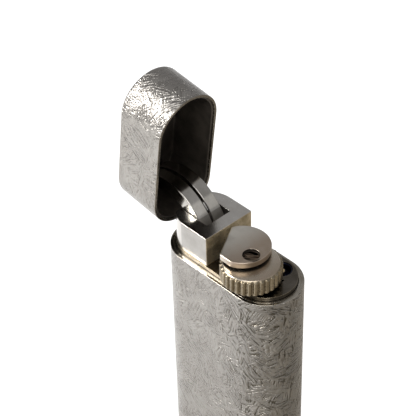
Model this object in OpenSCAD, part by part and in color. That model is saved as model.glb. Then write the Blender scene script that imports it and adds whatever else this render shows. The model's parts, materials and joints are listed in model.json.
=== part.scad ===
// Slim flip-top pocket gas lighter with an oval section, shown with its cap swung open.
// Z is up, the origin is the middle of the underside, the hinge is towards -X and the thumb
// wheel towards +X; the broad front faces -Y.

/* [Case] */
// Length of the oval section
case_l = 24.8; // [22:0.1:30]
// Thickness of the oval section
case_t = 11.9; // [10:0.1:14]
// Height of the case from its underside to the rim
rim_z = 60.9; // [50:0.1:70]
// Wall of the engraved case shell
shell_wall = 0.5; // [0.4:0.05:0.8]
// Width of the polished collar inside the rim
collar_w = 0.4; // [0.3:0.05:0.8]
// Height of the base plate
base_h = 1.2; // [0.8:0.1:2]
// Rounding of the base plate's lower edge
base_round = 0.5; // [0.2:0.05:0.8]

/* [Cap] */
// Height of the cap
lid_h = 9.1; // [8:0.1:12]
// Wall of the engraved cap shell
lid_wall = 0.42; // [0.35:0.01:0.6]
// Wall of the liner inside the cap
liner_wall = 0.33; // [0.25:0.01:0.5]
// Rounding of the cap's top edge
lid_round = 0.7; // [0.3:0.05:1.5]
// Angle the cap opens through
open_deg = 82.2; // [70:0.1:100]
// Distance of the hinge centre outside the end of the case
hinge_out = 0.87; // [0.5:0.01:1.5]
// Height of the hinge centre above the rim
hinge_up = 0.44; // [0:0.01:1]

/* [Deck and hinge block] */
// Height of the deck above the rim
deck_up = 0.7; // [0.3:0.05:1.2]
// Height of the hinge block above the rim
block_up = 6.1; // [5:0.1:7]
// Width of the hinge block across the case
block_t = 9.78; // [9:0.01:10]
// Position of the block's wheel-side face along X
block_x = -1.55; // [-3:0.05:0]
// Position of the block's hinge-side end along X
block_end_x = -9.8; // [-11:0.1:-8]
// Position of the well's inner wall along X
well_x = -3.9; // [-5:0.05:-3]
// Width of the well across the case
well_t = 5.0; // [4.5:0.01:5.4]

/* [Hinge arms] */
// Outer radius of the arms about the hinge centre
arm_r = 9.25; // [8.5:0.05:9.5]
// Inner radius of the arms
arm_in_r = 6.9; // [6:0.05:7.5]
// Thickness of one arm
arm_t = 2.13; // [1.6:0.01:2.2]
// Gap between the two arms
arm_gap = 0.5; // [0.5:0.05:1]

/* [Thumb wheel and bracket] */
// Radius over the ribs of the wheel
wheel_r = 4.85; // [4.5:0.05:5]
// Height of the wheel
wheel_h = 2.9; // [2:0.1:3.5]
// Height of the wheel's underside above the rim
wheel_up = 1.3; // [1:0.05:2]
// Number of ribs round the wheel
wheel_ribs = 30; // [20:2:40]
// Radius of the bracket plate
plate_r = 4.5; // [4:0.05:5]
// Thickness of the bracket plate
plate_h = 1.04; // [0.8:0.02:1.4]
// Height of the bracket plate's top above the rim
plate_up = 5.64; // [5:0.02:6]
// Radius of the screw hole in the bracket plate
screw_hole_r = 1.36; // [1:0.02:1.6]

/* [Burner and flint] */
// Radius of the burner hole
burner_r = 1.75; // [1.2:0.05:2]
// Radius of the flint
flint_r = 0.8; // [0.6:0.05:1.2]

/* [Hidden] */
$fn = 96;
eps = 0.05;
half_l = (case_l - case_t) / 2;          // straight half length of the oval
half_t = case_t / 2;
hinge = [-case_l / 2 - hinge_out, 0, rim_z + hinge_up];
deck_z = rim_z + deck_up;
play = 0.05;                             // clearance of running fits
collar_in = shell_wall + collar_w;       // inset of the collar's inner face
frame_inset = collar_in + play;          // inset of everything that fits inside the collar
cap_gap = 0.06;                          // daylight between the closed cap and the rim

wheel_at = [5.4, -2.08];                 // axis of the wheel and its screw
plate_at = [2.7, -1.3];                  // middle of the bracket plate's round edge
post_at = [0.45, 1.0];                   // axis the bracket swings about
burner_at = [7.0, 2.9];
flint_at = [3.7, 0.6];
pin_hole_at = [8.95, 1.05];
fill_at = [-5.6, 0];                     // axis of the refill valve

wheel_z = rim_z + wheel_up;
plate_z = rim_z + plate_up - plate_h;
post_r = 0.5;
boss_r = 0.84;
axle_r = 0.9;
washer_h = 0.22;
screw_head_h = 0.36;
screw_sink = 0.42;                       // depth of the screw head below the plate's top
ring_in_r = 2.1;                         // striker ring under the wheel
ring_r = 4.0;
ring_h = 0.9;

deck_h = 2.2;
deck_low = deck_z - deck_h;
core_top = deck_low;
core_h = 13.2;
core_low = core_top - core_h;
spigot_h = 1.4;                          // part of the base plate that fits inside the shell
tank_low = base_h + spigot_h;
tank_h = core_low - tank_low;
tank_wall = 0.7;
tank_inset = shell_wall + 0.35;
tank_top_h = 1.6;
flint_tube_r = 1.2;
flint_bore_r = flint_r + play;
flint_sleeve_r = 1.75;
valve_r = 1.25;
valve_seal_z = core_low - 0.8;            // height of the seal ring in its groove
valve_groove_r = 0.8;
nozzle_r = 0.5;
nozzle_neck_r = 0.32;

channel_play = 0.15;                     // room round the arms in the deck and core
channel_t = 2 * arm_t + arm_gap + 0.3;
track_r = (arm_r + arm_in_r) / 2;        // middle radius of the grooves the guide pins run in
guide_pin_r = 0.42;
groove_half = guide_pin_r + play;
groove_depth = 0.85;
guide_sink = 0.2;                        // depth of the guide plate's edge below the arms' outer face
guide_deg = [25, 36];                    // places of the guide pins round the hinge centre
arm_tail_deg = -64;                      // ends of the arms, cap closed
arm_head_deg = 62;
groove_deg = [guide_deg[0] - open_deg - 3.4, guide_deg[1] + 3.4];
bridge_z = rim_z + 7.6;                  // underside of the bridge, cap closed
liner_top = rim_z + lid_h - lid_wall - liner_wall - 0.1;
rivet_at = [-8.35, (arm_t + arm_gap) / 2];
rivet_r = 0.35;

lever_z = rim_z - 5.2;
lever_h = 0.8;
lever_y = [2.55, 3.25];
lever_pin_at = [1.0, lever_z + lever_h / 2];
lever_x = [-2.8, 8.0];

// An upright oval prism, inset from the case's outline
module oval(inset, z0, z1) {
  r = half_t - inset;
  translate([0, 0, z0]) {
    for (s = [-1, 1]) translate([s * half_l, 0, 0]) cylinder(h = z1 - z0, r = r);
    translate([-half_l, -r, 0]) cube([2 * half_l, 2 * r, z1 - z0]);
  }
}

// Half section of an oval solid with one rounded rim: up = 1 rounds the top, up = 0 the bottom
module rounded_section(r, h, e, up) {
  middle_z = up == 1 ? h - e : e;          // height of the rounding's middle
  square([r - e, h]);
  translate([0, up == 1 ? 0 : e]) square([r, h - e]);
  intersection() {
    translate([r - e, middle_z]) circle(e);
    translate([r - e, up == 1 ? middle_z : 0]) square([e, e]);
  }
}

// An oval solid swept from that section
module rounded_oval(inset, z0, z1, e, up) {
  r = half_t - inset;
  translate([0, 0, z0]) {
    for (s = [-1, 1]) translate([s * half_l, 0, 0]) rotate_extrude() rounded_section(r, z1 - z0, e, up);
    translate([-half_l, 0, 0]) rotate([90, 0, 90]) linear_extrude(2 * half_l) {
      rounded_section(r, z1 - z0, e, up);
      mirror([1, 0]) rounded_section(r, z1 - z0, e, up);
    }
  }
}

module rod(at, r, z0, z1) {
  translate([at[0], at[1], z0]) cylinder(h = z1 - z0, r = r);
}

module ring(at, r, bore, z0, z1) {
  difference() {
    rod(at, r, z0, z1);
    rod(at, bore, z0 - 1, z1 + 1);
  }
}

// Round seal lying flat
module seal(at, r, cord_r, z) {
  translate([at[0], at[1], z]) rotate_extrude() translate([r, 0]) circle(cord_r);
}

// Closely wound spring drawn as its stacked turns
module coil(at, r, wire_r, z0, turns) {
  for (i = [0 : turns - 1]) seal(at, r, wire_r, z0 + wire_r + i * wire_r * 1.9);
}

// Sector of a ring about the hinge centre, y from y0 to y1, angles up from +X
module hinge_sector(r0, r1, y0, y1, a0, a1) {
  translate([hinge[0], y1, hinge[2]]) rotate([90, 0, 0]) rotate([0, 0, a0])
    rotate_extrude(angle = a1 - a0) translate([r0, 0]) square([r1 - r0, y1 - y0]);
}

// Whole ring about the hinge centre, used to cut room for the arms
module hinge_ring(r0, r1, t) {
  translate([hinge[0], t / 2, hinge[2]]) rotate([90, 0, 0]) difference() {
    cylinder(h = t, r = r1);
    translate([0, 0, -1]) cylinder(h = t + 2, r = r0);
  }
}

// Swings what is drawn for the closed cap to where it stands open
module swung_open() {
  translate(hinge) rotate([0, -open_deg, 0]) translate(-hinge) children();
}

// ---- case ----

module body_shell() {
  color([0.68, 0.66, 0.63]) difference() {
    oval(0, base_h, rim_z);
    oval(shell_wall, base_h - 1, rim_z + 1);
  }
}

module rim_collar() {
  color([0.80, 0.79, 0.77]) difference() {
    oval(shell_wall, core_low, rim_z);
    oval(collar_in, core_low - 1, rim_z + 1);
  }
}

module base_plate() {
  color([0.72, 0.70, 0.67]) difference() {
    union() {
      rounded_oval(0, 0, base_h, base_round, 0);
      oval(shell_wall, base_h - eps, base_h + spigot_h);
    }
    rod(fill_at, 1.7, -1, base_h + 3);
    rod(flint_at, 1.9, -1, base_h + 3);
    for (s = [-1, 1]) {
      rod([s * 9.6, 0], 0.5, -1, base_h + 3);
      rod([s * 9.6, 0], 0.95, -1, 0.6);
    }
  }
}

module base_screws() {
  color([0.6, 0.6, 0.6]) for (s = [-1, 1]) difference() {
    union() {
      rod([s * 9.6, 0], 0.45, 0.15, tank_low + 1.2);
      rod([s * 9.6, 0], 0.9, 0.1, 0.55);
    }
    translate([s * 9.6 - 1, -0.12, 0]) cube([2, 0.24, 0.3]);
  }
}

// ---- fuel tank ----

module fuel_tank() {
  color([0.75, 0.66, 0.42]) difference() {
    oval(tank_inset, tank_low, tank_low + tank_h - tank_top_h);
    difference() {
      oval(tank_inset + tank_wall, tank_low + 1.6, tank_low + tank_h);
      rod(flint_at, flint_sleeve_r, tank_low, tank_low + tank_h);
      rod(fill_at, 1.9, tank_low, tank_low + 6.4);
    }
    rod(flint_at, flint_tube_r, tank_low - 1, tank_low + tank_h);
    rod(fill_at, 1.3, tank_low - 1, tank_low + 7);
    for (s = [-1, 1]) rod([s * 9.6, 0], 0.45, tank_low - 1, tank_low + 1.2);
  }
}

module tank_top() {
  color([0.75, 0.66, 0.42]) difference() {
    oval(tank_inset, tank_low + tank_h - tank_top_h, tank_low + tank_h);
    rod(flint_at, flint_tube_r, tank_low, rim_z);
    rod(burner_at, valve_r, tank_low, rim_z);
  }
}

// ---- core, deck and hinge block ----

module core_frame() {
  color([0.62, 0.60, 0.55]) difference() {
    oval(frame_inset, core_low, core_top);
    hinge_ring(arm_in_r - channel_play, arm_r + channel_play, channel_t);
    rod(flint_at, flint_tube_r, core_low - 1, rim_z);
    rod(burner_at, valve_r, core_low - 1, rim_z);
    rod(post_at, post_r, core_top - 2, rim_z);
    lever_room();
    translate([lever_pin_at[0], 4.4, lever_pin_at[1]]) rotate([90, 0, 0]) cylinder(h = 3.4, r = 0.3);
  }
}

// Slot in the core that the lifting lever rocks in
module lever_room() {
  translate([lever_x[0] - 0.4, lever_y[0] - 0.1, lever_z - 0.9])
    cube([lever_x[1] - lever_x[0] + 0.8, lever_y[1] - lever_y[0] + 0.2, lever_h + 1.8]);
}

module deck_plate() {
  color([0.55, 0.54, 0.50]) difference() {
    oval(frame_inset, deck_low, deck_z);
    intersection() {
      hinge_ring(arm_in_r - channel_play, arm_r + channel_play, channel_t);
      translate([-12, -4, deck_low - 1]) cube([12, 8, deck_h + 2]);
    }
    rod(flint_at, flint_tube_r, deck_low - 1, rim_z + 3);
    rod(burner_at, burner_r, deck_low - 1, rim_z + 3);
    rod(post_at, post_r, deck_low - 1, rim_z + 3);
    rod(pin_hole_at, 0.28, deck_z - 1, rim_z + 3);
    guide_slot();
  }
}

// Foot of the guide plate, let into the deck behind the arms
module guide_slot() {
  translate([-8.6, -arm_gap / 2 + play, deck_low - 1]) cube([1.75, arm_gap - 2 * play, deck_h + 2]);
}

module hinge_block() {
  color([0.82, 0.81, 0.79]) difference() {
    intersection() {
      oval(half_t - block_t / 2, deck_z, rim_z + block_up);
      translate([block_end_x, -half_t, deck_z]) cube([block_x - block_end_x, case_t, block_up]);
    }
    translate([-14, -well_t / 2, deck_z - 1]) cube([14 + well_x, well_t, block_up + 2]);
  }
}

module guide_plate() {
  t = arm_gap - 2 * play;
  color([0.45, 0.44, 0.42]) difference() {
    union() {
      intersection() {
        translate([hinge[0], t / 2, hinge[2]]) rotate([90, 0, 0]) cylinder(h = t, r = arm_r - guide_sink);
        translate([-8.6, -t / 2, deck_z]) cube([4.6, t, block_up - deck_up - 0.2]);
      }
      intersection() {
        translate([-8.6, -t / 2, deck_low]) cube([1.75, t, deck_h + 1]);
        oval(frame_inset, deck_low, deck_z + 1);
      }
    }
    guide_pin_set(2);
  }
}

// The two pins across the guide plate
module guide_pin_set(length) {
  for (a = guide_deg)
    translate([hinge[0] + track_r * cos(a), length / 2, hinge[2] + track_r * sin(a)])
      rotate([90, 0, 0]) cylinder(h = length, r = guide_pin_r);
}

module guide_pins() {
  color([0.7, 0.7, 0.7]) guide_pin_set(arm_gap + 2 * groove_depth - 0.1);
}

// ---- cap and hinge arms ----

module lid_shell() {
  color([0.68, 0.66, 0.63]) swung_open() difference() {
    rounded_oval(0, rim_z + cap_gap, rim_z + lid_h, lid_round, 1);
    oval(lid_wall, rim_z - 1, rim_z + lid_h - lid_wall);
  }
}

module lid_liner() {
  color([0.20, 0.18, 0.16]) swung_open() difference() {
    oval(lid_wall, rim_z + 0.35, rim_z + lid_h - lid_wall);
    oval(lid_wall + liner_wall, rim_z - 1, liner_top);
  }
}

module arm_bridge() {
  color([0.5, 0.49, 0.47]) swung_open() difference() {
    translate([-10.2, -channel_t / 2, bridge_z]) cube([3.3, channel_t, liner_top - bridge_z]);
    rivet_set(bridge_z - 1, liner_top + 1, rivet_r);
  }
}

module rivet_set(z0, z1, r) {
  for (s = [-1, 1]) rod([rivet_at[0], s * rivet_at[1]], r, z0, z1);
}

module bridge_rivets() {
  color([0.6, 0.6, 0.6]) swung_open() rivet_set(bridge_z - 0.9, liner_top, rivet_r);
}

// One arm, side = -1 for the front and 1 for the rear
module hinge_arm(side) {
  near = arm_gap / 2;
  color([0.78, 0.77, 0.75]) swung_open() difference() {
    hinge_sector(arm_in_r, arm_r, side > 0 ? near : -near - arm_t, side > 0 ? near + arm_t : -near,
      arm_tail_deg, arm_head_deg);
    hinge_sector(track_r - groove_half, track_r + groove_half, side > 0 ? near - 1 : -near - groove_depth,
      side > 0 ? near + groove_depth : -near + 1, groove_deg[0], groove_deg[1]);
    translate([-14, -4, bridge_z]) cube([10, 8, 5]);
    rivet_set(bridge_z - 0.9, bridge_z + 1, rivet_r);
  }
}

module hinge_arm_front() { hinge_arm(-1); }
module hinge_arm_rear() { hinge_arm(1); }

// ---- thumb wheel on its swinging bracket ----

module bracket_post() {
  color([0.7, 0.7, 0.7]) rod(post_at, post_r, core_top - 2, plate_z + 0.5);
}

module bracket_plate() {
  flat_a = [-1.4, 0.34];                   // ends of the slanting flat
  flat_b = [2.0, -5.45];
  flat_turn = atan2(flat_b[1] - flat_a[1], flat_b[0] - flat_a[0]);
  color([0.70, 0.68, 0.65]) difference() {
    union() {
      rod(plate_at, plate_r, plate_z, plate_z + plate_h);
      rod(post_at, boss_r, deck_z + 0.1, plate_z + eps);
    }
    translate([flat_a[0], flat_a[1], plate_z - 1]) rotate([0, 0, flat_turn])
      translate([-10, -20, 0]) cube([30, 20, 4]);
    translate([-5, flat_b[1] - 10, plate_z - 1]) cube([20, 10, 4]);
    translate([-10 + block_x + 0.1, -10, plate_z - 1]) cube([10, 20, 4]);
    rod(wheel_at, screw_hole_r, plate_z + plate_h - screw_sink - screw_head_h, rim_z + 9);
    rod(wheel_at, axle_r, plate_z - 1, rim_z + 9);
    rod(post_at, post_r + play, deck_z - 1, plate_z + 0.55);
  }
}

module wheel_screw() {
  head_z = plate_z + plate_h - screw_sink - screw_head_h;
  color([0.45, 0.44, 0.43]) difference() {
    union() {
      rod(wheel_at, axle_r, deck_z + 0.2, head_z + eps);
      rod(wheel_at, screw_hole_r - 0.06, head_z, head_z + screw_head_h);
    }
    translate([wheel_at[0], wheel_at[1], head_z + screw_head_h]) rotate([0, 0, 40])
      cube([4, 0.32, 0.44], center = true);
  }
}

module screw_washer() {
  color([0.6, 0.6, 0.6]) ring(wheel_at, 1.3, axle_r, deck_z + 0.25, deck_z + 0.25 + washer_h);
}

module thumb_wheel() {
  rib_r = 0.4;
  rib_at = wheel_r - rib_r;
  core_r = wheel_r - 0.36;
  chamfer = 0.28;
  color([0.72, 0.69, 0.62]) translate([wheel_at[0], wheel_at[1], wheel_z]) difference() {
    union() {
      rotate_extrude() polygon([[axle_r + play, 0], [core_r - 0.1, 0], [core_r, 0.1], [core_r, wheel_h - chamfer],
        [core_r - chamfer, wheel_h], [axle_r + play, wheel_h]]);
      for (i = [0 : wheel_ribs - 1]) rotate([0, 0, i * 360 / wheel_ribs]) translate([rib_at, 0, 0.12])
        cylinder(h = wheel_h - 0.36, r = rib_r);
    }
    difference() {
      translate([0, 0, -1]) cylinder(h = 1 + ring_h, r = ring_r);
      translate([0, 0, -2]) cylinder(h = 4, r = ring_in_r);
    }
  }
}

module striker_ring() {
  teeth = 24;
  color([0.35, 0.34, 0.33]) difference() {
    ring(wheel_at, ring_r, ring_in_r, wheel_z + 0.02, wheel_z + ring_h);
    for (i = [0 : teeth - 1]) translate([wheel_at[0], wheel_at[1], wheel_z]) rotate([0, 0, i * 360 / teeth])
      translate([ring_in_r - 0.5, -0.1, -0.1]) cube([3, 0.2, 0.3]);
  }
}

// ---- flint gear ----

module flint_tube() {
  color([0.76, 0.68, 0.45]) ring(flint_at, flint_tube_r, flint_bore_r, base_h + 1.0, deck_z);
}

module flint() {
  color([0.3, 0.3, 0.3]) rod(flint_at, flint_r, deck_z - 4.2, wheel_z - 0.08);
}

module flint_follower() {
  color([0.7, 0.7, 0.7]) {
    rod(flint_at, flint_r, deck_z - 5.8, deck_z - 4.3);
    rod(flint_at, 0.35, deck_z - 12, deck_z - 5.7);
  }
}

module flint_spring() {
  color([0.55, 0.55, 0.55]) coil(flint_at, 0.58, 0.19, deck_z - 12.6, 18);
}

module flint_screw() {
  color([0.6, 0.6, 0.6]) difference() {
    union() {
      rod(flint_at, flint_r, base_h + 0.9, deck_z - 12.8);
      rod(flint_at, 1.8, 0.2, base_h + 0.95);
    }
    translate([flint_at[0] - 2, flint_at[1] - 0.2, 0]) cube([4, 0.4, 0.8]);
  }
}

// ---- burner and valve ----

module burner_cup() {
  color([0.25, 0.25, 0.28]) difference() {
    rod(burner_at, burner_r, deck_low + 0.2, deck_z - 0.15);
    rod(burner_at, burner_r - 0.3, deck_low + 0.8, deck_z + 1);
    rod(burner_at, nozzle_r + 0.06, deck_low - 1, deck_z + 1);
  }
}

module burner_nozzle() {
  color([0.76, 0.68, 0.45]) difference() {
    union() {
      rod(burner_at, nozzle_r, lever_z + 1.2, deck_z - 0.3);
      rod(burner_at, nozzle_neck_r, lever_z - 0.5, lever_z + 1.25);
      rod(burner_at, nozzle_r, lever_z - 2.6, lever_z - 0.4);
    }
    rod(burner_at, 0.14, deck_z - 2, deck_z + 1);
  }
}

module valve_body() {
  color([0.72, 0.62, 0.38]) difference() {
    rod(burner_at, valve_r, core_low - 4, lever_z - 1.2);
    rod(burner_at, nozzle_r + play, core_low - 1, lever_z);
    rod(burner_at, 0.25, core_low - 5, lever_z);
    ring(burner_at, valve_r + 1, valve_groove_r, valve_seal_z - 0.23, valve_seal_z + 0.23);
  }
}

module valve_seal() {
  color([0.1, 0.1, 0.1]) seal(burner_at, (valve_r + valve_groove_r) / 2, 0.215, valve_seal_z);
}

module valve_spring() {
  color([0.55, 0.55, 0.55]) coil(burner_at, 0.34, 0.12, lever_z - 4.4, 7);
}

module valve_lever() {
  y_mid = (lever_y[0] + lever_y[1]) / 2;
  color([0.66, 0.64, 0.6]) difference() {
    translate([lever_x[0], lever_y[0], lever_z]) cube([lever_x[1] - lever_x[0], lever_y[1] - lever_y[0], lever_h]);
    translate([burner_at[0], y_mid, lever_z - 1]) {
      cylinder(h = 3, r = nozzle_neck_r + 0.1);
      translate([0, -(nozzle_neck_r + 0.1), 0]) cube([3, 2 * (nozzle_neck_r + 0.1), 3]);
    }
    translate([lever_pin_at[0], 5, lever_pin_at[1]]) rotate([90, 0, 0]) cylinder(h = 5, r = 0.3 + play);
  }
}

module lever_pin() {
  color([0.7, 0.7, 0.7]) translate([lever_pin_at[0], 4.4, lever_pin_at[1]]) rotate([90, 0, 0])
    cylinder(h = 3.4, r = 0.3);
}

// ---- refill valve ----

module refill_body() {
  color([0.76, 0.68, 0.45]) ring(fill_at, 1.3, 0.65, 0.5, tank_low + 5.4);
}

module refill_stem() {
  color([0.8, 0.72, 0.5]) union() {
    rod(fill_at, 0.35, 0.9, tank_low + 4.6);
    rod(fill_at, 0.6, tank_low - 0.6, tank_low + 0.2);
  }
}

module refill_seal() {
  color([0.1, 0.1, 0.1]) seal(fill_at, 1.5, 0.2, base_h + 0.9);
}

module refill_spring() {
  color([0.55, 0.55, 0.55]) coil(fill_at, 0.49, 0.11, tank_low + 0.3, 12);
}

body_shell();
rim_collar();
base_plate();
base_screws();
fuel_tank();
tank_top();
core_frame();
deck_plate();
hinge_block();
guide_plate();
guide_pins();
lid_shell();
lid_liner();
arm_bridge();
bridge_rivets();
hinge_arm_front();
hinge_arm_rear();
bracket_post();
bracket_plate();
wheel_screw();
screw_washer();
thumb_wheel();
striker_ring();
flint_tube();
flint();
flint_follower();
flint_spring();
flint_screw();
burner_cup();
burner_nozzle();
valve_body();
valve_seal();
valve_spring();
valve_lever();
lever_pin();
refill_body();
refill_stem();
refill_seal();
refill_spring();
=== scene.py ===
"""A slim oval flip-top pocket lighter with an engraved case, standing open on a pale floor."""

import json
import math

import bpy
import numpy as np
from mathutils import Matrix, Vector


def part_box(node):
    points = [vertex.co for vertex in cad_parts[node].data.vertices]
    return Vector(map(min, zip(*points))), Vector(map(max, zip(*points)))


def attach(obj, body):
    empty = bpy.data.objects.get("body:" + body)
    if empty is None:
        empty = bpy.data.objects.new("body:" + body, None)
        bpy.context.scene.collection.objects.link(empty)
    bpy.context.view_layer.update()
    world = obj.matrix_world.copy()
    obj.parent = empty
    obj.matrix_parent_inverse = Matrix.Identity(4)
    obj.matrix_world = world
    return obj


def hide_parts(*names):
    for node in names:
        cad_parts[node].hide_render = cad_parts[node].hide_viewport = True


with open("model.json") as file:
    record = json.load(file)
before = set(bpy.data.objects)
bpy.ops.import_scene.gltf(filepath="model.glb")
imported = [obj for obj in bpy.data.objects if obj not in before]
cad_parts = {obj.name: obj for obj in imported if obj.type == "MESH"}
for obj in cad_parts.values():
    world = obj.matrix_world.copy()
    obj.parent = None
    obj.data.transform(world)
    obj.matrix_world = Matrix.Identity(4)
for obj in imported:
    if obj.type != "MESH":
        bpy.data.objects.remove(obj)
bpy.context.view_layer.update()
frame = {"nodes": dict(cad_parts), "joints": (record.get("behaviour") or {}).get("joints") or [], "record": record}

# Driving sizes in mm, taken from the frame: half thickness, half length between the end centres of
# the oval, rim height, and the cap's hinge line and opening angle
MM = 0.001
shell_low, shell_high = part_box("body_shell")
HALF_T = shell_high.y / MM
HALF_L = shell_high.x / MM - HALF_T
RIM = shell_high.z / MM
JOINTS = {joint["name"]: joint for joint in frame["joints"]}
HINGE = np.array(JOINTS["cap_hinge"]["pos_m"]) / MM
OPEN = math.radians(JOINTS["cap_hinge"]["range_deg"][1])


# ---------------------------------------------------------------- camera

def aim_camera():
    """A long lens looking down on the rim from the wheel end, turned a little about its own axis.

    back points from the rim to the camera, right and up complete the frame; the camera sits at
    distance along back plus a small slide sideways and upwards, so the rim isn't centred.
    """
    azimuth, elevation, roll = math.radians(47.59), math.radians(39.0), math.radians(-1.496)
    distance, slide_right, slide_up = 233.0, -4.424, 8.072
    back = Vector((math.sin(azimuth) * math.cos(elevation), -math.cos(azimuth) * math.cos(elevation),
                   math.sin(elevation)))
    right = Vector((math.cos(azimuth), math.sin(azimuth), 0))
    up = back.cross(right)
    turned_right = right * math.cos(roll) + up * math.sin(roll)
    turned_up = up * math.cos(roll) - right * math.sin(roll)
    place = back * distance + turned_right * slide_right + turned_up * slide_up
    place.z += RIM
    data = bpy.data.cameras.new("camera")
    data.lens, data.sensor_width = 129.44, 36
    data.clip_start, data.clip_end = 0.01, 20
    camera = bpy.data.objects.new("camera", data)
    camera.matrix_world = Matrix.Translation(place * MM) @ Matrix(
        (turned_right, turned_up, back)).transposed().to_4x4()
    bpy.context.scene.collection.objects.link(camera)
    bpy.context.scene.camera = camera


# ---------------------------------------------------------------- shapes

def oval_outline(end_steps=56, side_steps=20):
    """Outline of the case seen from above, in mm, counter-clockwise, with its outward normals.

    A point is the end centre (plus or minus the half length) plus the half thickness times
    (cos a, sin a); along the straight sides the centre slides and the angle stays.
    """
    turn = np.linspace(-math.pi / 2, math.pi / 2, end_steps + 1)
    slide = np.linspace(HALF_L, -HALF_L, side_steps + 1)[1:-1]
    middle = np.concatenate([np.full_like(turn, HALF_L), slide, np.full_like(turn, -HALF_L), -slide])
    angle = np.concatenate([turn, np.full_like(slide, math.pi / 2), turn + math.pi,
                            np.full_like(slide, -math.pi / 2)])
    normal = np.stack([np.cos(angle), np.sin(angle)], 1)
    points = normal * HALF_T
    points[:, 0] += middle
    return points, normal


def soften(corners, radii, steps=6, closed=True, hold=0.04):
    """A polyline through the corners with every corner turned into an arc of its radius.

    The arc's middle lies on the corner's bisector at radius / sin(half angle); its points turn
    evenly from one side to the other. A point just before and after each arc holds the flats flat.
    A radius of 0 keeps the corner as it is.
    """
    corners, radii = np.asarray(corners, float), np.asarray(radii, float)
    before = np.roll(corners, 1, 0) - corners
    after = np.roll(corners, -1, 0) - corners
    before /= np.maximum(np.linalg.norm(before, axis=1, keepdims=True), 1e-9)
    after /= np.maximum(np.linalg.norm(after, axis=1, keepdims=True), 1e-9)
    half = np.arccos(np.clip((before * after).sum(1), -1, 1)) / 2
    reach = (radii / np.tan(np.maximum(half, 1e-3)))[:, None]
    bisector = before + after
    bisector /= np.maximum(np.linalg.norm(bisector, axis=1, keepdims=True), 1e-9)
    middle = corners + bisector * (radii / np.sin(np.maximum(half, 1e-3)))[:, None]
    start, end = corners + before * reach - middle, corners + after * reach - middle
    sweep = math.pi - 2 * half
    share = np.linspace(0, 1, steps + 1)[None, :, None]
    spread = np.maximum(np.sin(sweep), 1e-6)[:, None, None]
    arc = (np.sin((1 - share) * sweep[:, None, None]) * start[:, None]
           + np.sin(share * sweep[:, None, None]) * end[:, None]) / spread + middle[:, None]
    lead = (corners + before * (reach + hold))[:, None]
    trail = (corners + after * (reach + hold))[:, None]
    run = np.concatenate([lead, arc, trail], 1)
    sharp = radii == 0
    run[sharp] = corners[sharp][:, None]
    run = run.reshape(-1, 2)
    gap = np.linalg.norm(run - np.roll(run, 1, 0), axis=1)
    keep = gap > 1e-5
    if not closed:
        keep[0] = True
    return run[keep]


def outward(outline):
    """Outward normals of a counter-clockwise outline: the step from the last point to the next
    one, turned a quarter clockwise."""
    step = np.roll(outline, -1, 0) - np.roll(outline, 1, 0)
    normal = np.stack([step[:, 1], -step[:, 0]], 1)
    return normal / np.linalg.norm(normal, axis=1, keepdims=True)


def carry(outline, normal, profile):
    """The profile carried round the outline: point (i, j) is outline i moved in along its normal
    by the profile's inset j, at the profile's height j."""
    flat = outline[:, None, :] - normal[:, None, :] * profile[None, :, :1]
    height = np.broadcast_to(profile[None, :, 1:], flat.shape[:2] + (1,))
    return np.concatenate([flat, height], 2)


def spin(profile, angles, centre=(0, 0)):
    """The profile of (radius, height) turned about an upright axis through the centre: point
    (i, j) is centre + radius j times (cos, sin) of angle i, at height j."""
    radius, height = profile[..., 0], profile[..., 1]
    radius = np.broadcast_to(radius, (len(angles), profile.shape[-2]))
    return np.stack([centre[0] + radius * np.cos(angles)[:, None],
                     centre[1] + radius * np.sin(angles)[:, None],
                     np.broadcast_to(height, radius.shape)], 2)


def full_turn(count):
    """Angles evenly spread over a whole turn."""
    return np.arange(count) * 2 * math.pi / count


def swing_open(points):
    """The cap's shape is worked out closed and turned back about the hinge line to stand open."""
    away = points - HINGE
    c, s = math.cos(-OPEN), math.sin(-OPEN)
    return np.stack([c * away[..., 0] + s * away[..., 2], away[..., 1],
                     c * away[..., 2] - s * away[..., 0]], -1) + HINGE


def weave(grid, wrap_i=True, wrap_j=True, covers=False):
    """Vertices and faces of a grid of points. Faces run (i, j), (i+1, j), (i+1, j+1), (i, j+1), so
    they point outwards when i runs counter-clockwise and j up the outside. covers closes the
    first and last j with one face each."""
    ni, nj = grid.shape[:2]
    index = np.arange(ni * nj).reshape(ni, nj)
    i0 = index if wrap_i else index[:-1]
    i1 = np.roll(index, -1, 0) if wrap_i else index[1:]
    if wrap_j:
        quads = np.stack([i0, i1, np.roll(i1, -1, 1), np.roll(i0, -1, 1)], -1)
    else:
        quads = np.stack([i0[:, :-1], i1[:, :-1], i1[:, 1:], i0[:, 1:]], -1)
    faces = quads.reshape(-1, 4).tolist()
    if covers:
        faces.append(index[::-1, 0].tolist())
        faces.append(index[:, -1].tolist())
    return grid.reshape(-1, 3), faces


def face_middles(shape):
    """Middle of each face of a woven shape, whose last two faces are its end covers."""
    points, faces = shape
    covers = [points[list(face)].mean(0) for face in faces[-2:]]
    return np.concatenate([points[np.array(faces[:-2])].mean(1), covers])


def join(*parts):
    """Several (vertices, faces) pairs as one."""
    vertices, faces, shift = [], [], 0
    for points, corners in parts:
        vertices.append(points)
        faces += [[c + shift for c in face] for face in corners]
        shift += len(points)
    return np.concatenate(vertices), faces


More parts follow.
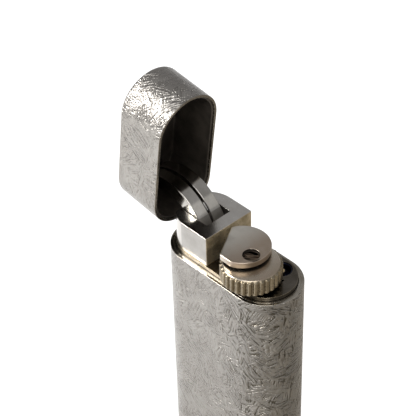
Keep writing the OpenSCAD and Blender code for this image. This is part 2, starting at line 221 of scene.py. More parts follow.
def make_piece(name, shape, nodes, body, finishes, marks=None, unwrap=None):
    """A mesh piece from vertices in mm and faces, standing for CAD nodes. marks gives each face's
    finish, unwrap each face corner's place on the rolled-out metal in mm."""
    points, faces = shape
    data = bpy.data.meshes.new(name)
    data.from_pydata((points * MM).tolist(), [], faces)
    data.polygons.foreach_set("use_smooth", np.ones(len(faces), bool))
    for finish in finishes:
        data.materials.append(finish)
    if marks is not None:
        data.polygons.foreach_set("material_index", np.asarray(marks, np.int32))
    if unwrap is not None:
        layer = data.uv_layers.new(name="rolled_out")
        layer.data.foreach_set("uv", np.asarray(unwrap, np.float32).ravel())
    data.update()
    piece = bpy.data.objects.new(name, data)
    bpy.context.scene.collection.objects.link(piece)
    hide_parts(*nodes)
    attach(piece, body)
    return piece


def wall_unwrap(outline, normal, profile, wrap_j=True, covers=False, flat_from=None):
    """Rolled-out place of every face corner of a carried wall: the run along the outline and the
    run along the profile. Faces from profile step flat_from on, and covers, take their place as
    seen from above, shifted clear of the wall's own places."""
    clear = 60.0
    step = np.linalg.norm(np.roll(outline, -1, 0) - outline, axis=1)
    along = np.concatenate([[0], np.cumsum(step)])
    rise = np.linalg.norm(np.roll(profile, -1, 0) - profile, axis=1)
    up = np.concatenate([[0], np.cumsum(rise)])
    ni, nj = len(outline), len(profile)
    i, j = np.meshgrid(np.arange(ni), np.arange(nj if wrap_j else nj - 1), indexing="ij")
    corner_i = np.stack([i, i + 1, i + 1, i], -1)
    corner_j = np.stack([j, j, j + 1, j + 1], -1)
    place = np.stack([along[corner_i], up[corner_j]], -1)
    if flat_from is not None:
        inset = normal[corner_i % ni] * profile[corner_j % nj][..., :1]
        above = outline[corner_i % ni] - inset + clear
        place = np.where((j >= flat_from)[..., None, None], above, place)
    place = place.reshape(-1, 2)
    if covers:
        place = np.concatenate([place, outline[::-1] + clear, outline + clear])
    return place


# ---------------------------------------------------------------- shader building

class Val:
    """A shader socket that Python's arithmetic builds Math nodes on."""

    def __init__(self, finish, socket):
        self.finish, self.socket = finish, socket

    def _math(self, operation, first, second=0.0):
        inputs = {0: first, 1: second}
        return self.finish.add("ShaderNodeMath", {"operation": operation}, inputs).out("Value")

    def __add__(self, other):
        return self._math("ADD", self, other)

    def __radd__(self, other):
        return self._math("ADD", other, self)

    def __sub__(self, other):
        return self._math("SUBTRACT", self, other)

    def __rsub__(self, other):
        return self._math("SUBTRACT", other, self)

    def __mul__(self, other):
        return self._math("MULTIPLY", self, other)

    def __rmul__(self, other):
        return self._math("MULTIPLY", other, self)

    def ramp(self, low, high, soft=True):
        """0 below low, 1 above high."""
        settings = {"interpolation_type": "SMOOTHSTEP" if soft else "LINEAR", "clamp": not soft}
        inputs = {"Value": self, "From Min": low, "From Max": high}
        return self.finish.add("ShaderNodeMapRange", settings, inputs).out("Result")


class Made:
    """A node just made; out gives one of its outputs."""

    def __init__(self, finish, node):
        self.finish, self.node = finish, node

    def out(self, name):
        return Val(self.finish, self.node.outputs[name])


class Finish:
    """One material under construction."""

    def __init__(self, name):
        self.material = bpy.data.materials.new(name)
        self.material.use_nodes = True
        self.tree = self.material.node_tree
        self.tree.nodes.clear()

    def add(self, kind, settings=None, inputs=None):
        """A node of any type: its settings first, then the values or links of its sockets."""
        node = self.tree.nodes.new(kind)
        for key, value in (settings or {}).items():
            setattr(node, key, value)
        for key, value in (inputs or {}).items():
            if isinstance(value, Val):
                self.tree.links.new(value.socket, node.inputs[key])
            else:
                node.inputs[key].default_value = value
        return Made(self, node)

    def object_place(self):
        """Object coordinates in mm."""
        place = self.add("ShaderNodeTexCoord").out("Object")
        return self.scaled(place, (1000, 1000, 1000))

    def rolled_place(self):
        """The piece's own rolled-out coordinates in mm."""
        return self.add("ShaderNodeUVMap", {"uv_map": "rolled_out"}).out("UV")

    def scaled(self, place, factors):
        """The place stretched by a factor along each axis."""
        return self.add("ShaderNodeVectorMath", {"operation": "MULTIPLY"},
                        {0: place, 1: factors}).out("Vector")

    def moved(self, place, shift):
        """The place shifted, so that another part of a pattern falls there."""
        return self.add("ShaderNodeVectorMath", {"operation": "ADD"}, {0: place, 1: shift}).out("Vector")

    def noise(self, place, scale, detail=2.0, rough=0.5, distort=0.0):
        """Cloudy noise about 0.5; its scale is in features per unit of place."""
        inputs = {"Vector": place, "Scale": scale, "Detail": detail, "Roughness": rough,
                  "Distortion": distort}
        return self.add("ShaderNodeTexNoise", None, inputs).out("Fac")

    def blend(self, factor, first, second):
        """A colour between first and second."""
        settings = {"data_type": "RGBA"}
        node = self.add("ShaderNodeMix", settings, {"Factor": factor})
        for slot, value in ((6, first), (7, second)):
            if isinstance(value, Val):
                self.tree.links.new(value.socket, node.node.inputs[slot])
            else:
                node.node.inputs[slot].default_value = (*value, 1.0)
        return Val(self, node.node.outputs[2])

    def worn_edges(self, width, low=0.02, high=0.25):
        """1 along sharp edges: how far the rounded-off normal turns from the real one."""
        rounded = self.add("ShaderNodeBevel", {"samples": 4}, {"Radius": width * MM}).out("Normal")
        flat = self.add("ShaderNodeNewGeometry").out("Normal")
        same = self.add("ShaderNodeVectorMath", {"operation": "DOT_PRODUCT"},
                        {0: rounded, 1: flat}).out("Value")
        return (1 - same).ramp(low, high)

    def relief(self, height, depth, strength=1.0, under=None):
        """Bump of the given depth in mm."""
        inputs = {"Height": height, "Strength": strength, "Distance": depth * MM}
        if under is not None:
            inputs["Normal"] = under
        return self.add("ShaderNodeBump", None, inputs).out("Normal")

    def close(self, colour, roughness, metallic, normal=None, **fixed):
        """Principled surface and output. fixed are plain numbers set on the shader's own sockets."""
        inputs = {"Base Color": colour, "Roughness": roughness, "Metallic": metallic}
        if normal is not None:
            inputs["Normal"] = normal
        for key, value in fixed.items():
            inputs[key.replace("_", " ")] = value
        surface = self.add("ShaderNodeBsdfPrincipled", None, inputs)
        self.add("ShaderNodeOutputMaterial", None, {"Surface": Val(self, surface.node.outputs[0])})
        return self.material


# ---------------------------------------------------------------- finishes

def engraved_silver():
    """Satin silver cut all over with short strokes.

    The rolled-out metal is laid out in patches; each patch turns the place by its own angle, and a
    noise drawn out along that angle gives its strokes. Two layers of patches cross each other. A
    few strokes are cut deeper, and the cuts hold dark dirt. Towards the wheel end the cuts grow
    deeper, more of them are deep and they are darker. That darkening is painted shade for the darker
    surroundings the rounded end reflects.
    """
    f = Finish("engraved_silver")
    place = f.rolled_place()
    wander = f.add("ShaderNodeTexNoise", None, {"Vector": place, "Scale": 0.8, "Detail": 2.0}).out("Color")
    bent = f.add("ShaderNodeVectorMath", {"operation": "MULTIPLY_ADD"},
                 {0: wander, 1: (0.8, 0.8, 0), 2: place}).out("Vector")
    cuts, deep = [], []
    for patch, turns, shift in ((2.7, 2.3, (3.1, 7.7, 0)), (1.8, 3.7, (11.3, 1.9, 0))):
        moved = f.moved(bent, shift)
        cell = f.add("ShaderNodeTexVoronoi", None, {"Vector": moved, "Scale": 1 / patch}).out("Color")
        chance = f.add("ShaderNodeSeparateColor", None, {"Color": cell})
        turned = f.add("ShaderNodeVectorRotate", {"rotation_type": "Z_AXIS"},
                       {"Vector": f.moved(place, shift), "Angle": chance.out("Red") * (turns * math.pi)})
        stroke = f.noise(f.scaled(turned.out("Vector"), (0.36, 3.2, 1)), 1.0, 1.0, 0.5, 0.05)
        cuts.append(stroke.ramp(0.34, 0.66, False))
        deep.append(stroke.ramp(0.55, 0.64) * chance.out("Green").ramp(0.25, 0.6))
    cut = cuts[0] * 0.6 + cuts[1] * 0.5
    deeper = deep[0] + deep[1]
    cloud = f.noise(place, 0.22, 3.0, 0.55)
    along = f.add("ShaderNodeSeparateXYZ", None, {"Vector": f.object_place()}).out("X")
    # Along X towards the wheel end the cuts grow deeper and darker: partly deeper cuts, partly painted shade
    wheel_end_depth_and_painted_shade = (along + (cloud - 0.5) * 8.0).ramp(1.0, 8.0)
    deeper = deeper * (wheel_end_depth_and_painted_shade * 0.75 + 0.25)
    metal = f.blend(cloud.ramp(0.3, 0.7), (0.295, 0.277, 0.255), (0.365, 0.347, 0.322))
    # Dark dirt in the cuts, made darker towards the wheel end as painted shade
    cut_dirt_and_painted_shade = (cut * (wheel_end_depth_and_painted_shade * 0.14 + 0.22) + deeper * 0.62).ramp(0, 1, False)
    metal = f.blend(cut_dirt_and_painted_shade, metal, (0.075, 0.064, 0.045))
    edge = f.worn_edges(0.25)
    metal = f.blend(edge * 0.7, metal, (0.60, 0.575, 0.54))
    rough = 0.33 - cut * 0.08 + (cloud - 0.5) * 0.16 - edge * 0.1
    normal = f.relief(0.0 - cut * (wheel_end_depth_and_painted_shade * 0.7 + 0.9) - deeper * 0.8, 0.12, 1.0)
    return f.close(metal, rough, 1.0, normal)


def drawn_metal(name, light, dark, rough, grain=(1, 1, 24), grain_depth=0.002, round_off=0.07, spots=0.12,
                metallic=1.0, edge_colour=(0.85, 0.83, 0.80), edge_share=0.65):
    """Plain metal: cloudy colour between two tones, a fine grain drawn out along one direction,
    stray hairline scratches, small dull spots and bright worn edges."""
    f = Finish(name)
    place = f.object_place()
    grain_lines = f.noise(f.scaled(place, grain), 1.0, 3.0, 0.6)
    cloud = f.noise(place, 0.35, 3.0, 0.6)
    spot = f.noise(f.moved(place, (31, 17, 5)), 2.6, 2.0, 0.5).ramp(0.58, 0.72)
    hair = f.noise(f.scaled(f.moved(place, (7, 3, 9)), (0.5, 9.0, 0.5)), 1.0, 1.0, 0.4, 0.6).ramp(0.66, 0.70)
    colour = f.blend(cloud.ramp(0.3, 0.7), dark, light)
    colour = f.blend(spot * spots, colour, tuple(0.45 * c for c in dark))
    rounded = f.add("ShaderNodeBevel", {"samples": 4}, {"Radius": round_off * MM}).out("Normal")
    edge = f.worn_edges(0.16)
    colour = f.blend(edge * edge_share, colour, edge_colour)
    roughness = rough + (cloud - 0.5) * 0.12 + (grain_lines - 0.5) * 0.10 + hair * 0.08 + spot * spots
    normal = f.relief(grain_lines * 0.6 - hair * 0.5, grain_depth, 0.5, rounded)
    return f.close(colour, roughness, metallic, normal)


def turned_metal(name, light, dark, rough, centre, ring_pitch=0.14, metallic=1.0, round_off=0.06,
                 brown_tone=(0.30, 0.20, 0.13), brown_tone_from=4.0, edge_colour=(0.85, 0.82, 0.77)):
    """Metal faced on a lathe: fine rings about an upright axis through the centre, ring_pitch mm
    apart, over a cloudy colour, with worn edges and a brown tone that grows along X from
    brown_tone_from."""
    f = Finish(name)
    place = f.object_place()
    away = f.moved(place, (-centre[0], -centre[1], 0))
    flat = f.scaled(away, (1, 1, 0))
    radius = f.add("ShaderNodeVectorMath", {"operation": "LENGTH"}, {0: flat}).out("Value")
    around = f.add("ShaderNodeCombineXYZ", None, {"X": radius * (1 / ring_pitch)}).out("Vector")
    rings = f.noise(around, 1.0, 3.0, 0.7)
    cloud = f.noise(place, 0.4, 3.0, 0.6)
    colour = f.blend(cloud.ramp(0.28, 0.72), dark, light)
    colour = f.blend(rings.ramp(0.55, 0.75) * 0.18, colour, tuple(0.5 * c for c in dark))
    # Browner towards +X
    along = f.add("ShaderNodeSeparateXYZ", None, {"Vector": place}).out("X")
    browning = (along + (cloud - 0.5) * 6.0).ramp(brown_tone_from, brown_tone_from + 5.0)
    colour = f.blend(browning * 0.6, colour, brown_tone)
    rounded = f.add("ShaderNodeBevel", {"samples": 4}, {"Radius": round_off * MM}).out("Normal")
    edge = f.worn_edges(0.14)
    colour = f.blend(edge * 0.6, colour, edge_colour)
    roughness = rough + (rings - 0.5) * 0.14 + (cloud - 0.5) * 0.1
    normal = f.relief(rings, 0.003, 0.4, rounded)
    return f.close(colour, roughness, metallic, normal)


def matt_stuff(name, light, dark, rough, size, depth, metallic=0.0):
    """Rubber, flint and lacquer: a fine speckle in colour, gloss and relief."""
    f = Finish(name)
    place = f.object_place()
    speckle = f.noise(place, 1 / size, 4.0, 0.65)
    cloud = f.noise(place, 0.3, 2.0, 0.5)
    colour = f.blend((speckle * 0.6 + cloud * 0.4).ramp(0.3, 0.7), dark, light)
    roughness = rough + (speckle - 0.5) * 0.2 + (cloud - 0.5) * 0.15
    return f.close(colour, roughness, metallic, f.relief(speckle, depth, 0.5))


# Height of the mouth of the block's well in mm, the wheel's box in metres and its axis in mm
WELL_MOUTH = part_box("hinge_block")[1].z / MM
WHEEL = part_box("thumb_wheel")
WHEEL_AT = ((WHEEL[0].x + WHEEL[1].x) / 2 / MM, (WHEEL[0].y + WHEEL[1].y) / 2 / MM)

# Each plain finish gives its light and dark tones, its roughness and how its grain is drawn out
# along X, Y and Z. GILT is the brassy tone that shows where the plating has worn off the edges.
ENGRAVED = engraved_silver()
GILT = (0.46, 0.29, 0.12)
POLISHED = drawn_metal("polished_steel", (0.56, 0.54, 0.505), (0.49, 0.465, 0.43), 0.17, (1, 1, 30),
                       round_off=0.03, spots=0.05, edge_colour=GILT, edge_share=0.95)
# The block's broad front gets a darker copy of the polished steel: painted shade on that side
BLOCK_FRONT_PAINTED_SHADE = drawn_metal("block_front_painted_shade", (0.385, 0.37, 0.347), (0.315, 0.30, 0.278), 0.20, (1, 1, 30),
                          round_off=0.03, spots=0.05, edge_colour=GILT, edge_share=0.95)
# The block's face towards the wheel gets a rough olive-brown tone: a painted reflection of the wheel and bracket
# plate
BLOCK_FACE_PAINTED_REFLECTION = drawn_metal("block_face_painted_reflection", (0.66, 0.57, 0.41), (0.32, 0.26, 0.16), 0.46, (2, 2, 12),
                         round_off=0.03, spots=0.5, edge_colour=GILT, edge_share=0.95)
ARM_POLISH = drawn_metal("arm_polish", (0.46, 0.44, 0.405), (0.37, 0.35, 0.315), 0.13, (30, 2, 30),
                         spots=0.04)
RIM_POLISH = drawn_metal("rim_polish", (0.40, 0.37, 0.32), (0.26, 0.235, 0.19), 0.18, (2, 2, 12),
                         round_off=0.02, edge_colour=(0.50, 0.42, 0.31))
# The arms' part inside the well: a duller, much darker copy of the arm metal, its dark tone painted shade
ARM_DULL_PAINTED_SHADE = drawn_metal("arm_dull_painted_shade", (0.17, 0.155, 0.13), (0.12, 0.11, 0.095), 0.40, (30, 2, 30),
                       spots=0.04, metallic=0.3)
# The walls inside the block's well get a nearly black copy of the steel: painted shade in the recess
WELL_WALLS_PAINTED_SHADE = drawn_metal("well_walls_painted_shade", (0.13, 0.12, 0.10), (0.09, 0.082, 0.07), 0.5, (3, 3, 14))
LIP = drawn_metal("cap_lip", (0.26, 0.235, 0.20), (0.16, 0.142, 0.115), 0.26, (2, 12, 2),
                  edge_colour=(0.42, 0.38, 0.32))
DECK = drawn_metal("deck_metal", (0.135, 0.120, 0.100), (0.078, 0.068, 0.053), 0.20, (3, 22, 3),
                   edge_colour=(0.42, 0.35, 0.24))
LINING = drawn_metal("cap_lining", (0.085, 0.072, 0.058), (0.042, 0.035, 0.028), 0.38, (14, 14, 1.5),
                     metallic=0.5, edge_colour=(0.20, 0.17, 0.12))
SATIN = drawn_metal("satin_steel", (0.42, 0.40, 0.37), (0.33, 0.31, 0.28), 0.33, (18, 2, 2))
PLATE = turned_metal("bracket_satin", (0.66, 0.63, 0.565), (0.52, 0.485, 0.425), 0.33, (2.7, -1.3), 0.22,
                     brown_tone=(0.24, 0.14, 0.07), brown_tone_from=0.2, edge_colour=(0.80, 0.70, 0.58))
KNURLED = turned_metal("wheel_steel", (0.56, 0.51, 0.43), (0.42, 0.37, 0.29), 0.26, WHEEL_AT,
                       brown_tone_from=6.0, edge_colour=(0.50, 0.36, 0.21))
RIBS = drawn_metal("wheel_ribs", (0.31, 0.262, 0.188), (0.18, 0.145, 0.095), 0.24, (3, 3, 20),
                   spots=0.4, edge_colour=(0.50, 0.33, 0.16))
DARK_STEEL = drawn_metal("dark_steel", (0.11, 0.098, 0.085), (0.06, 0.053, 0.045), 0.40, (6, 6, 6),
                         edge_colour=(0.30, 0.26, 0.21))
# Dark burner cup whose blue tint and blue edges are a painted glint of the flame's blue light
BURNER_PAINTED_BLUE_GLINT = drawn_metal("burner_painted_blue_glint", (0.030, 0.035, 0.075), (0.012, 0.013, 0.02), 0.34, (8, 8, 8),
                     edge_colour=(0.10, 0.12, 0.30))
SCREW = drawn_metal("wheel_screw_steel", (0.15, 0.108, 0.076), (0.085, 0.06, 0.042), 0.48, (6, 6, 6),
                    edge_colour=(0.30, 0.23, 0.17))
BRASS = drawn_metal("brass", (0.62, 0.47, 0.24), (0.50, 0.36, 0.17), 0.30, (2, 2, 20))
FLINT = matt_stuff("flint", (0.13, 0.125, 0.12), (0.07, 0.07, 0.07), 0.70, 0.25, 0.02, 0.3)
SPRING = drawn_metal("spring_steel", (0.45, 0.45, 0.44), (0.34, 0.33, 0.32), 0.30, (2, 2, 8))
RUBBER = matt_stuff("seal_rubber", (0.035, 0.035, 0.037), (0.02, 0.02, 0.021), 0.6, 0.3, 0.01)

NODE_FINISH = {"engraved_silver": ENGRAVED, "polished_steel": POLISHED, "deck_metal": DECK,
               "dark_liner": LINING, "satin_steel": SATIN, "wheel_steel": KNURLED,
               "dark_steel": DARK_STEEL, "brass": BRASS, "flint": FLINT, "spring_steel": SPRING,
               "seal_rubber": RUBBER}
for part in frame["record"]["subparts"]:
    for place in frame["nodes"][part["node"]].material_slots:
        place.material = NODE_FINISH[part["material_slot"]]


# ---------------------------------------------------------------- pieces

OVAL, OVAL_OUT = oval_outline()
# Wall thicknesses, then the cap's height above the rim, edge rounding and gap to the rim, in mm
SHELL_WALL, COLLAR_WALL, LID_WALL, LINER_WALL = 0.5, 0.4, 0.42, 0.33
LID_HIGH, LID_ROUND, LID_GAP = 9.1, 0.7, 0.06


def case_wall():
    """The engraved case: a closed wall section carried round the oval, its lips polished."""
    low = shell_low.z / MM
    profile = soften([(0, low), (0, RIM), (SHELL_WALL, RIM), (SHELL_WALL, low)], [0.03, 0.08, 0.02, 0.03])
    shape = weave(carry(OVAL, OVAL_OUT, profile))
    inner = np.roll(profile, -1, 0)
    outside = (profile[:, 0] < 0.012) & (inner[:, 0] < 0.012)
    marks = np.tile(np.where(outside, 0, 1), len(OVAL))
    make_piece("case_wall", shape, ["body_shell"], "case", [ENGRAVED, RIM_POLISH],
               marks, wall_unwrap(OVAL, OVAL_OUT, profile))


def rim_band():
    """The polished collar: a thin closed section carried round the oval inside the case."""
    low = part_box("rim_collar")[0].z / MM
    outer, inner = SHELL_WALL + 0.004, SHELL_WALL + COLLAR_WALL
    profile = soften([(outer, low), (outer, RIM), (inner, RIM), (inner, low)], [0.02, 0.04, 0.05, 0.02])
    shape = weave(carry(OVAL, OVAL_OUT, profile))
    make_piece("rim_band", shape, ["rim_collar"], "case", [RIM_POLISH])


def cap_wall():
    """The cap: a section from the middle of its top out, over the rounded edge, down the outside,
    round the lip and back up the inside, carried round the oval and swung open."""
    top, lip = RIM + LID_HIGH, RIM + LID_GAP
    ceiling = top - LID_WALL
    half = [(3.2, ceiling), (LID_WALL, ceiling), (LID_WALL, lip), (0, lip), (0, top), (3.2, top)]
    profile = soften(half, [0, 0.1, 0.05, 0.09, LID_ROUND, 0], 9, False)
    points, faces = weave(carry(OVAL, OVAL_OUT, profile), wrap_j=False, covers=True)
    start, end = profile[:-1], profile[1:]
    inside = (start[:, 0] > 0.02) & (start[:, 1] < top - 0.3)
    lip_turn = (start[:, 0] < 0.02) & (np.maximum(start[:, 1], end[:, 1]) < lip + 0.10)
    marks = np.tile(np.where(inside | lip_turn, 1, 0), len(OVAL))
    top_from = np.flatnonzero(profile[:, 1] > top - LID_ROUND / 2)[0]
    unwrap = wall_unwrap(OVAL, OVAL_OUT, profile, wrap_j=False, covers=True, flat_from=top_from)
    make_piece("cap_wall", (swing_open(points), faces), ["lid_shell"], "cap",
               [ENGRAVED, LIP], np.append(marks, [1, 0]), unwrap)


def cap_lining():
    """The dark lining: a cup section inside the cap wall, carried round the oval."""
    ceiling = RIM + LID_HIGH - LID_WALL - 0.004
    under = ceiling - LINER_WALL - 0.1
    outer, inner, lip = LID_WALL + 0.004, LID_WALL + LINER_WALL, RIM + 0.35
    half = [(3.4, under), (inner, under), (inner, lip), (outer, lip), (outer, ceiling), (3.4, ceiling)]
    profile = soften(half, [0, 0.35, 0.08, 0.08, 0.05, 0], 6, False)
    shape = weave(carry(OVAL, OVAL_OUT, profile), wrap_j=False, covers=True)
    make_piece("cap_lining", (swing_open(shape[0]), shape[1]), ["lid_liner"], "cap", [LINING])


# Hinge block seen from above: half width, ends along X, and the inner end and half width of its well
BLOCK_HALF, BLOCK_END, BLOCK_X, WELL_X, WELL_HALF = 4.89, -9.8, -1.55, -3.9, 2.5


def block_outline():
    """Seen from above: a U open towards the hinge, its outer ends following the oval."""
    half, end, face, well, well_half = BLOCK_HALF, BLOCK_END, BLOCK_X, WELL_X, WELL_HALF
    sweep = math.acos((-HALF_L - end) / half)
    turn = np.linspace(math.pi / 2, math.pi - sweep, 10)[1:-1]
    bow = np.stack([-HALF_L + half * np.cos(turn), half * np.sin(turn)], 1)
    tip = half * math.sin(math.pi - sweep)
    corners = np.concatenate([[(-HALF_L, -half), (face, -half), (face, half), (-HALF_L, half)], bow,
                              [(end, tip), (end, well_half), (well, well_half), (well, -well_half),
                               (end, -well_half), (end, -tip)], bow[::-1] * (1, -1)])
    radii = np.zeros(len(corners))
    radii[[1, 2]] = 0.16
    radii[4 + len(bow):10 + len(bow)] = [0.12, 0.12, 0.08, 0.08, 0.12, 0.12]
    return soften(corners, radii, 5)


def slab_profile(low, high, low_round, high_round, steps=5):
    """Side of a flat-ended solid with its two edges rounded, from the lower face to the upper."""
    corners = [(0.10, low), (0, low), (0, high), (0.10, high)]
    return soften(corners, [0, low_round, high_round, 0], steps, False)


def slab(outline, low, high, low_round, high_round, steps=5):
    """The side of a flat-ended solid carried round its outline, with both ends covered."""
    profile = slab_profile(low, high, low_round, high_round, steps)
    return weave(carry(outline, outward(outline), profile), wrap_j=False, covers=True)


def hinge_block():
    """The block: its top polished; the walls of its well and its broad front in darker copies of the
    steel, which are painted shade, and its face towards the wheel in an olive tone, a painted
    reflection of the wheel and plate."""
    low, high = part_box("hinge_block")
    shape = slab(block_outline(), low.z / MM, high.z / MM, 0.04, 0.06)
    x, y, z = face_middles(shape).T
    below = z < high.z / MM - 0.03
    in_well = below & (np.abs(y) < WELL_HALF + 0.02) & (x < WELL_X + 0.05)
    to_wheel, to_front = below & (x > BLOCK_X - 0.05), below & (y < 0.09 - BLOCK_HALF)
    # Well walls and front get painted shade, the face towards the wheel a painted reflection
    marks = np.select([in_well, to_front & ~to_wheel, to_wheel], [1, 2, 3], 0)
    make_piece("block", shape, ["hinge_block"], "case",
               [POLISHED, WELL_WALLS_PAINTED_SHADE, BLOCK_FRONT_PAINTED_SHADE, BLOCK_FACE_PAINTED_REFLECTION], marks)


def hinge_arm(side):
    """A curved arm: its section in radius and y, grooved on the inner face where the guide pins
    run, carried round the hinge axis from tail to head; the head stops flat against the bridge,
    at the angle whose sine is the bridge's height over the radius."""
    r0, r1, near, far, track, half, deep = 6.9, 9.25, 0.25, 2.38, 8.075, 0.47, 0.85
    tail, head, bridge = math.radians(-64), math.radians(62), 7.16
    start, stop = math.radians(25 - 82.2 - 3.4), math.radians(36 + 3.4)
    section = [(r0, near), (track - half, near), (track - half, near + deep), (track + half, near + deep),
               (track + half, near), (r1, near), (r1, far), (r0, far)]
    plain = soften(section, [0.10, 0, 0, 0, 0, 0.10, 0.16, 0.16], 4)
    groove = (np.abs(plain[:, 1] - near - deep) < 1e-6).astype(float)
    turn = np.concatenate([np.linspace(tail, start, 4), np.linspace(start, stop, 46),
                           np.linspace(stop, head, 12)])
    open_here = np.concatenate([np.zeros(4), np.ones(46), np.zeros(12)])
    radius, across = plain[:, 0], plain[:, 1]
    across = across[None] - groove[None] * deep * (1 - open_here[:, None])
    reach = np.arcsin(np.clip(bridge / radius, -1, 1))
    angle = np.minimum(turn[:, None], np.minimum(reach, head)[None])
    grid = np.stack([HINGE[0] + radius * np.cos(angle), side * across, HINGE[2] + radius * np.sin(angle)], 2)
    grid = grid if side > 0 else grid[::-1]
    points, faces = weave(grid.transpose(1, 0, 2), True, False, True)
    return swing_open(points), faces


def hinge_arms():
    """Both arms, polished, with a duller and darker finish on the part that stays in the well; its dark tone is
    painted shade.
    """
    for name, side in (("front", -1), ("rear", 1)):
        shape = hinge_arm(side)
        # Faces below the well's mouth get the dark copy: painted shade
        in_well = face_middles(shape)[:, 2] < WELL_MOUTH
        make_piece("arm_" + name, shape, ["hinge_arm_" + name], "cap",
                   [ARM_POLISH, ARM_DULL_PAINTED_SHADE], in_well.astype(int))


def thumb_wheel():
    """The knurled wheel: a closed section turned about its axle, with the underside hollow for the
    striker. Where the section is ribbed, the radius is the larger of the drum's and the ribs',
    which is c cos a + root(r r - (c sin a)(c sin a)) for a rib of radius r at distance c. The
    ribs have a darker finish than the faced top."""
    low, high = WHEEL[0].z / MM, WHEEL[1].z / MM
    bore, drum, rib, rib_at, ribs = 0.95, 4.49, 0.4, 4.45, 30
    corners = [(drum, low), (drum, high), (bore, high), (bore, low), (2.1, low), (2.1, low + 0.9),
               (4.0, low + 0.9), (4.0, low)]
    section = soften(corners, [0.1, 0.26, 0.08, 0.04, 0.04, 0, 0, 0.04], 7)
    outside = section[:, 0] > 4.15
    heights = np.linspace(low + 0.10, high - 0.22, 15)[1:-1]
    corner = np.flatnonzero(outside & (section[:, 1] < (low + high) / 2))[-1]
    section = np.concatenate([section[:corner + 1], np.stack([np.full_like(heights, drum), heights], 1),
                              section[corner + 1:]])
    angles = full_turn(ribs * 14)
    within = (angles + math.pi / ribs) % (2 * math.pi / ribs) - math.pi / ribs
    under = rib * rib - (rib_at * np.sin(within)) ** 2
    ridge = np.where(under > 0, rib_at * np.cos(within) + np.sqrt(np.maximum(under, 0)), 0)
    lift = np.maximum(ridge - drum, 0)
    z = section[:, 1]
    end = np.clip(np.minimum(z - low - 0.06, high - 0.16 - z) / 0.22, 0, 1)
    share = np.sqrt(1 - (1 - end) ** 2) * (section[:, 0] > drum - 0.3)
    grid_section = np.stack([section[None, :, 0] + lift[:, None] * share[None],
                             np.broadcast_to(z, (len(angles), len(z)))], 2)
    grid = spin(grid_section, angles, WHEEL_AT)
    marks = np.tile((section[:, 0] > drum - 0.1) & (z < high - 0.12), len(angles)).astype(int)
    make_piece("wheel", weave(grid), ["thumb_wheel"], "wheel", [KNURLED, RIBS], marks)


def bracket_outline(count=300):
    """Seen from above: a disc with a slanting flat towards the block and a facet in front.

    Along each direction from the disc's middle, the reach is the smallest of the disc's radius and
    the distances to the straight cuts; averaging each point with its neighbours rounds the
    corners."""
    radius, middle = 4.5, np.array((2.7, -1.3))
    cuts = [((-1.4, 0.34), (2.0, -5.45)), ((2.0, -5.45), (9.0, -5.45)), ((-1.45, 5.0), (-1.45, -5.0))]
    angle = full_turn(count * 8)
    way = np.stack([np.cos(angle), np.sin(angle)], 1)
    reach = np.full(len(angle), radius)
    for first, second in cuts:
        along = np.subtract(second, first) / np.linalg.norm(np.subtract(second, first))
        normal = np.array((along[1], -along[0]))
        gap = float(np.dot(np.subtract(first, middle), normal))
        facing = way @ normal
        reach = np.where(facing > 1e-6, np.minimum(reach, gap / np.maximum(facing, 1e-6)), reach)
    edge = middle + way * reach[:, None]
    step = np.linalg.norm(np.roll(edge, -1, 0) - edge, axis=1)
    run = np.concatenate([[0], np.cumsum(step)])
    even = np.linspace(0, run[-1], count + 1)[:-1]
    ring = np.concatenate([edge, edge[:1]])
    spaced = np.stack([np.interp(even, run, ring[:, k]) for k in (0, 1)], 1)
    return sum(np.roll(spaced, shift, 0) for shift in range(-3, 4)) / 7


def bracket():
    """The wheel bracket: a plate whose closed section runs from its edge to the screw hole, so
    point (i, j) lies between edge point i and hole point i, and a short boss round its post."""
    low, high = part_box("bracket_plate")
    top = high.z / MM
    bottom = top - 1.04
    edge = bracket_outline()
    out = outward(edge)
    hole, counter, sunk = 0.9, 1.36, top - 0.78
    angle = np.arctan2(edge[:, 1] - WHEEL_AT[1], edge[:, 0] - WHEEL_AT[0])
    ring = np.stack([np.cos(angle), np.sin(angle)], 1)
    rim = soften([(0.24, bottom), (0, bottom), (0, top), (0.24, top)], [0, 0.12, 0.18, 0], 6, False)
    outer = edge[:, None] - out[:, None] * rim[None, :, :1]
    outer = np.concatenate([outer, np.broadcast_to(rim[None, :, 1:], outer.shape[:2] + (1,))], 2)
    bore = soften([(counter + 0.3, top), (counter, top), (counter, sunk), (hole, sunk), (hole, bottom),
                   (hole + 0.2, bottom)], [0, 0.05, 0, 0, 0, 0], 5, False)
    inner = np.array(WHEEL_AT) + ring[:, None] * bore[None, :, :1]
    inner = np.concatenate([inner, np.broadcast_to(bore[None, :, 1:], inner.shape[:2] + (1,))], 2)
    plate = weave(np.concatenate([outer, inner], 1))
    steps = np.arange(len(rim) + len(bore))
    # The counterbore's wall and floor and the screw hole get the dark steel: painted shade in the hole round the
    # screw head
    marks = np.tile((steps >= len(rim) + 5).astype(int), len(edge))
    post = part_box("bracket_post")
    post_at = ((post[0].x + post[1].x) / 2 / MM, (post[0].y + post[1].y) / 2 / MM)
    tube = soften([(0.84, low.z / MM), (0.84, bottom), (0.55, bottom), (0.55, low.z / MM)],
                  [0.08, 0, 0, 0.04], 5)
    boss = weave(spin(tube, full_turn(48), post_at))
    marks = np.concatenate([marks, np.zeros(len(boss[1]), int)])
    make_piece("bracket", join(plate, boss), ["bracket_plate"], "bracket",
               [PLATE, DARK_STEEL], marks)


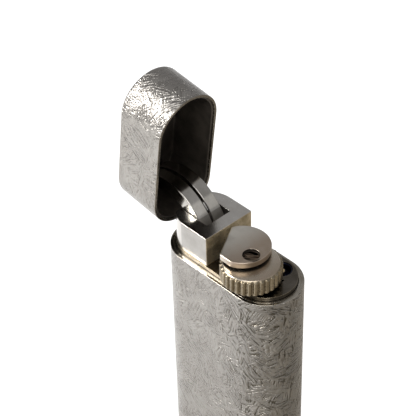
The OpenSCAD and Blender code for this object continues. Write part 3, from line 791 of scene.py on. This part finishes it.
def screw_head():
    """The wheel's screw: two half discs either side of the slot, standing on a full disc, on its
    shank. A half disc's outline is the part of the circle beyond the slot's edge."""
    low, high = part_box("wheel_screw")
    top, foot = high.z / MM, low.z / MM
    radius, half_slot, slot_deep, head, shank = 1.3, 0.17, 0.2, 0.36, 0.89
    tilt = math.radians(40)
    parts = []
    for side in (1, -1):
        start = math.asin(half_slot / radius)
        sweep = np.linspace(start, math.pi - start, 40)
        half = np.stack([radius * np.cos(sweep), radius * np.sin(sweep)], 1) * side
        turned = np.stack([half[:, 0] * math.cos(tilt) - half[:, 1] * math.sin(tilt),
                           half[:, 0] * math.sin(tilt) + half[:, 1] * math.cos(tilt)], 1) + WHEEL_AT
        profile = soften([(0.07, top - slot_deep), (0, top - slot_deep), (0, top), (0.07, top)],
                         [0, 0.0, 0.05, 0], 4, False)
        parts.append(weave(carry(turned, outward(turned), profile), wrap_j=False, covers=True))
    ring = full_turn(72)
    lathe = soften([(0.1, foot), (shank, foot), (shank, top - head), (radius, top - head),
                    (radius, top - slot_deep), (0.1, top - slot_deep)], [0, 0.1, 0, 0.04, 0, 0], 4, False)
    parts.append(weave(spin(lathe, ring, WHEEL_AT), wrap_j=False, covers=True))
    make_piece("screw_head", join(*parts), ["wheel_screw"], "bracket", [SCREW])


def burner_lip():
    """The cup inside the burner hole: a closed section turned about the burner's axis."""
    low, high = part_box("burner_cup")
    at = ((low.x + high.x) / 2 / MM, (low.y + high.y) / 2 / MM)
    z0, z1 = low.z / MM, high.z / MM
    section = soften([(0.57, z0), (1.74, z0), (1.74, z1), (1.46, z1), (1.46, z0 + 0.6), (0.57, z0 + 0.6)],
                     [0.03, 0.1, 0.06, 0.10, 0.25, 0.04], 5)
    # Dark finish with a painted blue glint
    make_piece("burner_lip", weave(spin(section, full_turn(96), at)), ["burner_cup"], "case",
               [BURNER_PAINTED_BLUE_GLINT])


# ---------------------------------------------------------------- floor and light

def lay_floor():
    """A wide pale floor, faintly mottled."""
    f = Finish("pale_floor")
    cloud = f.noise(f.object_place(), 0.01, 2.0, 0.5)
    colour = f.blend(cloud, (0.90, 0.90, 0.90), (0.93, 0.93, 0.925))
    finish = f.close(colour, 0.9, 0.0, Specular_IOR_Level=0.1)
    data = bpy.data.meshes.new("floor")
    data.from_pydata([(-3, -3, 0), (3, -3, 0), (3, 3, 0), (-3, 3, 0)], [], [(0, 1, 2, 3)])
    data.materials.append(finish)
    floor = bpy.data.objects.new("floor", data)
    bpy.context.scene.collection.objects.link(floor)


def add_light(name, place, target, size, power):
    """A plain white rectangular lamp aimed at a target."""
    data = bpy.data.lights.new(name, "AREA")
    data.shape, data.size, data.size_y = "RECTANGLE", size[0], size[1]
    data.energy = power
    light = bpy.data.objects.new(name, data)
    light.location = place
    light.rotation_euler = (Vector(target) - Vector(place)).to_track_quat("-Z", "Y").to_euler()
    bpy.context.scene.collection.objects.link(light)


def set_flag():
    """A grey card lying in front on the right that only glossy surfaces see: it darkens along one
    direction from the floor's own tone, so reflections fade into it."""
    f = Finish("flag")
    place = f.add("ShaderNodeSeparateXYZ", None, {"Vector": f.object_place()})
    across = place.out("X") * 0.8 + place.out("Y") * 0.35
    finish = f.close(f.blend(across.ramp(-45.0, 30.0), (0.91, 0.91, 0.91), (0.40, 0.365, 0.31)), 1.0, 0.0)
    data = bpy.data.meshes.new("flag")
    corners = [(-0.09, -0.30, 0.0004), (0.30, -0.30, 0.0004), (0.30, 0.20, 0.0004), (-0.09, 0.20, 0.0004)]
    data.from_pydata(corners, [], [(0, 1, 2, 3)])
    data.materials.append(finish)
    card = bpy.data.objects.new("flag", data)
    bpy.context.scene.collection.objects.link(card)
    card.visible_camera = card.visible_diffuse = card.visible_shadow = False


def light_studio():
    """Even pale surroundings, a wide soft light overhead, a brighter one in front on the left, a
    weak one behind on the right that the arms reflect, and a grey card lying in front."""
    world = bpy.data.worlds.new("surroundings")
    world.use_nodes = True
    world.node_tree.nodes["Background"].inputs["Color"].default_value = (0.98, 0.98, 1.0, 1)
    world.node_tree.nodes["Background"].inputs["Strength"].default_value = 0.45
    bpy.context.scene.world = world
    bpy.context.scene.view_settings.view_transform = "Standard"
    centre = (0, 0, 0.06)
    add_light("overhead", (0.25, -0.35, 0.75), centre, (0.5, 0.5), 3.2)
    add_light("front", (-0.35, -0.36, 0.42), centre, (0.26, 0.26), 5.0)
    add_light("strip", (0.42, 0.31, 0.46), centre, (0.30, 0.24), 0.085)
    set_flag()


aim_camera()
case_wall()
rim_band()
cap_wall()
cap_lining()
hinge_block()
hinge_arms()
thumb_wheel()
bracket()
screw_head()
burner_lip()
lay_floor()
light_studio()
